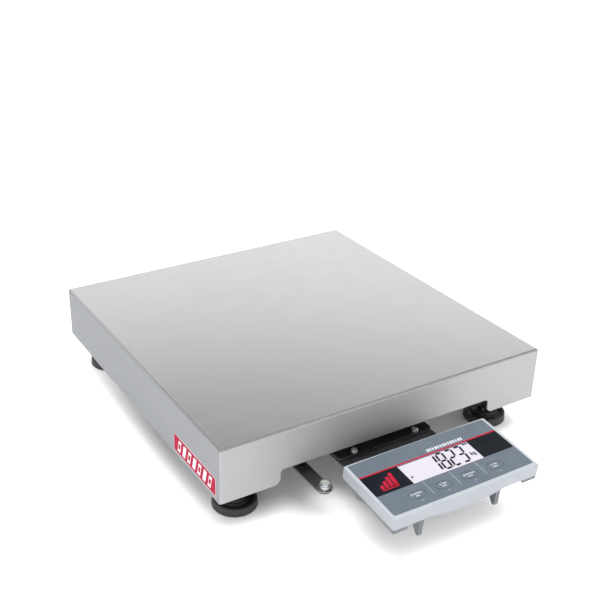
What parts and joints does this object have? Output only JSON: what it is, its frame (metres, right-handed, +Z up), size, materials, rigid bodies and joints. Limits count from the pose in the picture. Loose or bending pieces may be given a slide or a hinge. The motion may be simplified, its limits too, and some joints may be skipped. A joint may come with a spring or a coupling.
{
  "type": "platform shipping scale",
  "caption": "Bench scale with a square stainless pan on a load-cell frame, levelling feet, a spirit level and a tilting indicator with display and keys.",
  "frame": {"origin": "on the ground, under the middle of the box of the pan and the indicator", "axes": "+X to the right as the user faces the indicator, +Y from the indicator to the back of the pan, +Z up"},
  "size_m": [0.457, 0.5976, 0.111],
  "materials": {
    "stainless": "brushed",
    "frame_black": "fine textured powder coat",
    "zinc_steel": "zinc plated",
    "black_oxide": "black oxide",
    "cell_aluminium": "anodised",
    "black_rubber": "moulded",
    "light_plastic": "fine spark texture",
    "dark_plastic": "fine spark texture",
    "overlay_print": "printed film",
    "lcd_glass": "polished",
    "key_membrane": "embossed film",
    "chrome": "polished",
    "level_glass": "polished"
  },
  "bodies": {
    "base": {"side_rail_left": "frame_black", "side_rail_right": "frame_black", "front_rail": "frame_black", "rear_rail": "frame_black", "cell_beam": "frame_black", "lock_nut_front_left": "black_oxide", "lock_nut_front_right": "black_oxide", "lock_nut_rear_left": "black_oxide", "lock_nut_rear_right": "black_oxide", "overload_stop_front_left": "zinc_steel", "overload_stop_front_right": "zinc_steel", "overload_stop_rear_left": "zinc_steel", "overload_stop_rear_right": "zinc_steel", "load_cell": "cell_aluminium", "cell_spacer_lower": "zinc_steel", "cell_bolt_lower_inner": "zinc_steel", "cell_bolt_lower_outer": "zinc_steel", "mount_plate": "frame_black", "indicator_arm": "frame_black", "arm_bolt_left": "zinc_steel", "arm_bolt_right": "zinc_steel", "tilt_bracket": "frame_black", "level_arm": "frame_black", "level_cup": "chrome", "level_window": "level_glass"},
    "weighing_frame": {"cell_spacer_upper": "zinc_steel", "load_plate": "frame_black", "cell_bolt_upper_inner": "zinc_steel", "cell_bolt_upper_outer": "zinc_steel", "upper_beam_left": "frame_black", "upper_beam_right": "frame_black", "cross_rail_front": "frame_black", "cross_rail_rear": "frame_black", "corner_pad_front_left": "black_rubber", "corner_pad_front_right": "black_rubber", "corner_pad_rear_left": "black_rubber", "corner_pad_rear_right": "black_rubber"},
    "platform": {"platform_pan": "stainless", "pan_stiffener_left": "stainless", "pan_stiffener_right": "stainless"},
    "indicator": {"front_housing": "light_plastic", "rear_housing": "dark_plastic", "keypad_overlay": "overlay_print", "display_panel": "lcd_glass", "power_inlet": "dark_plastic"},
    "button_1": {"key_1": "key_membrane"},
    "button_2": {"key_2": "key_membrane"},
    "button_3": {"key_3": "key_membrane"},
    "button_4": {"key_4": "key_membrane"},
    "knob_left": {"tilt_knob_left": "dark_plastic"},
    "knob_right": {"tilt_knob_right": "dark_plastic"},
    "pad_front_left": {"foot_pad_front_left": "black_rubber"},
    "stud_front_left": {"foot_stud_front_left": "black_oxide"},
    "pad_front_right": {"foot_pad_front_right": "black_rubber"},
    "stud_front_right": {"foot_stud_front_right": "black_oxide"},
    "pad_rear_left": {"foot_pad_rear_left": "black_rubber"},
    "stud_rear_left": {"foot_stud_rear_left": "black_oxide"},
    "pad_rear_right": {"foot_pad_rear_right": "black_rubber"},
    "stud_rear_right": {"foot_stud_rear_right": "black_oxide"}
  },
  "joints": [
    {"name": "load_deflection", "type": "slide", "parent": "base", "child": "weighing_frame", "axis": [0, 0, 1], "range_m": [-0.001, 0], "stiffness_N_per_m": 600000, "springref_m": 0.0001, "deforming": ["load_cell"]},
    {"name": "platform_lift", "type": "slide", "parent": "weighing_frame", "child": "platform", "axis": [0, 0, 1], "range_m": [0, 0.08]},
    {"name": "indicator_tilt", "type": "hinge", "parent": "base", "child": "indicator", "pos_m": [0, -0.23324, 0.0495], "axis": [1, 0, 0], "range_deg": [-10, 18]},
    {"name": "knob_turn_left", "type": "hinge", "parent": "indicator", "child": "knob_left", "pos_m": [-0.0727, -0.23324, 0.0495], "axis": [-1, 0, 0], "range_deg": [0, 720]},
    {"name": "knob_turn_right", "type": "hinge", "parent": "indicator", "child": "knob_right", "pos_m": [0.0727, -0.23324, 0.0495], "axis": [1, 0, 0], "range_deg": [0, 720]},
    {"name": "key_press_1", "type": "slide", "parent": "indicator", "child": "button_1", "axis": [0, -0.0872, 0.9962], "range_m": [-0.0005, 0], "stiffness_N_per_m": 150, "springref_m": 0.003},
    {"name": "key_press_2", "type": "slide", "parent": "indicator", "child": "button_2", "axis": [0, -0.0872, 0.9962], "range_m": [-0.0005, 0], "stiffness_N_per_m": 150, "springref_m": 0.003},
    {"name": "key_press_3", "type": "slide", "parent": "indicator", "child": "button_3", "axis": [0, -0.0872, 0.9962], "range_m": [-0.0005, 0], "stiffness_N_per_m": 150, "springref_m": 0.003},
    {"name": "key_press_4", "type": "slide", "parent": "indicator", "child": "button_4", "axis": [0, -0.0872, 0.9962], "range_m": [-0.0005, 0], "stiffness_N_per_m": 150, "springref_m": 0.003},
    {"name": "foot_height_front_left", "type": "slide", "parent": "base", "child": "pad_front_left", "axis": [0, 0, 1], "range_m": [-0.01, 0.006]},
    {"name": "foot_turn_front_left", "type": "hinge", "parent": "pad_front_left", "child": "stud_front_left", "pos_m": [-0.1875, -0.11724, 0.02], "axis": [0, 0, 1], "range_deg": [-2401, 1441]},
    {"name": "foot_height_front_right", "type": "slide", "parent": "base", "child": "pad_front_right", "axis": [0, 0, 1], "range_m": [-0.01, 0.006]},
    {"name": "foot_turn_front_right", "type": "hinge", "parent": "pad_front_right", "child": "stud_front_right", "pos_m": [0.1875, -0.11724, 0.02], "axis": [0, 0, 1], "range_deg": [-2401, 1441]},
    {"name": "foot_height_rear_left", "type": "slide", "parent": "base", "child": "pad_rear_left", "axis": [0, 0, 1], "range_m": [-0.01, 0.006]},
    {"name": "foot_turn_rear_left", "type": "hinge", "parent": "pad_rear_left", "child": "stud_rear_left", "pos_m": [-0.1875, 0.25776, 0.02], "axis": [0, 0, 1], "range_deg": [-2401, 1441]},
    {"name": "foot_height_rear_right", "type": "slide", "parent": "base", "child": "pad_rear_right", "axis": [0, 0, 1], "range_m": [-0.01, 0.006]},
    {"name": "foot_turn_rear_right", "type": "hinge", "parent": "pad_rear_right", "child": "stud_rear_right", "pos_m": [0.1875, 0.25776, 0.02], "axis": [0, 0, 1], "range_deg": [-2401, 1441]}
  ],
  "couplings": [
    {"joint": "foot_turn_front_left", "follows": "foot_height_front_left", "rad_per_m": 4188.8},
    {"joint": "foot_turn_front_right", "follows": "foot_height_front_right", "rad_per_m": 4188.8},
    {"joint": "foot_turn_rear_left", "follows": "foot_height_rear_left", "rad_per_m": 4188.8},
    {"joint": "foot_turn_rear_right", "follows": "foot_height_rear_right", "rad_per_m": 4188.8}
  ]
}
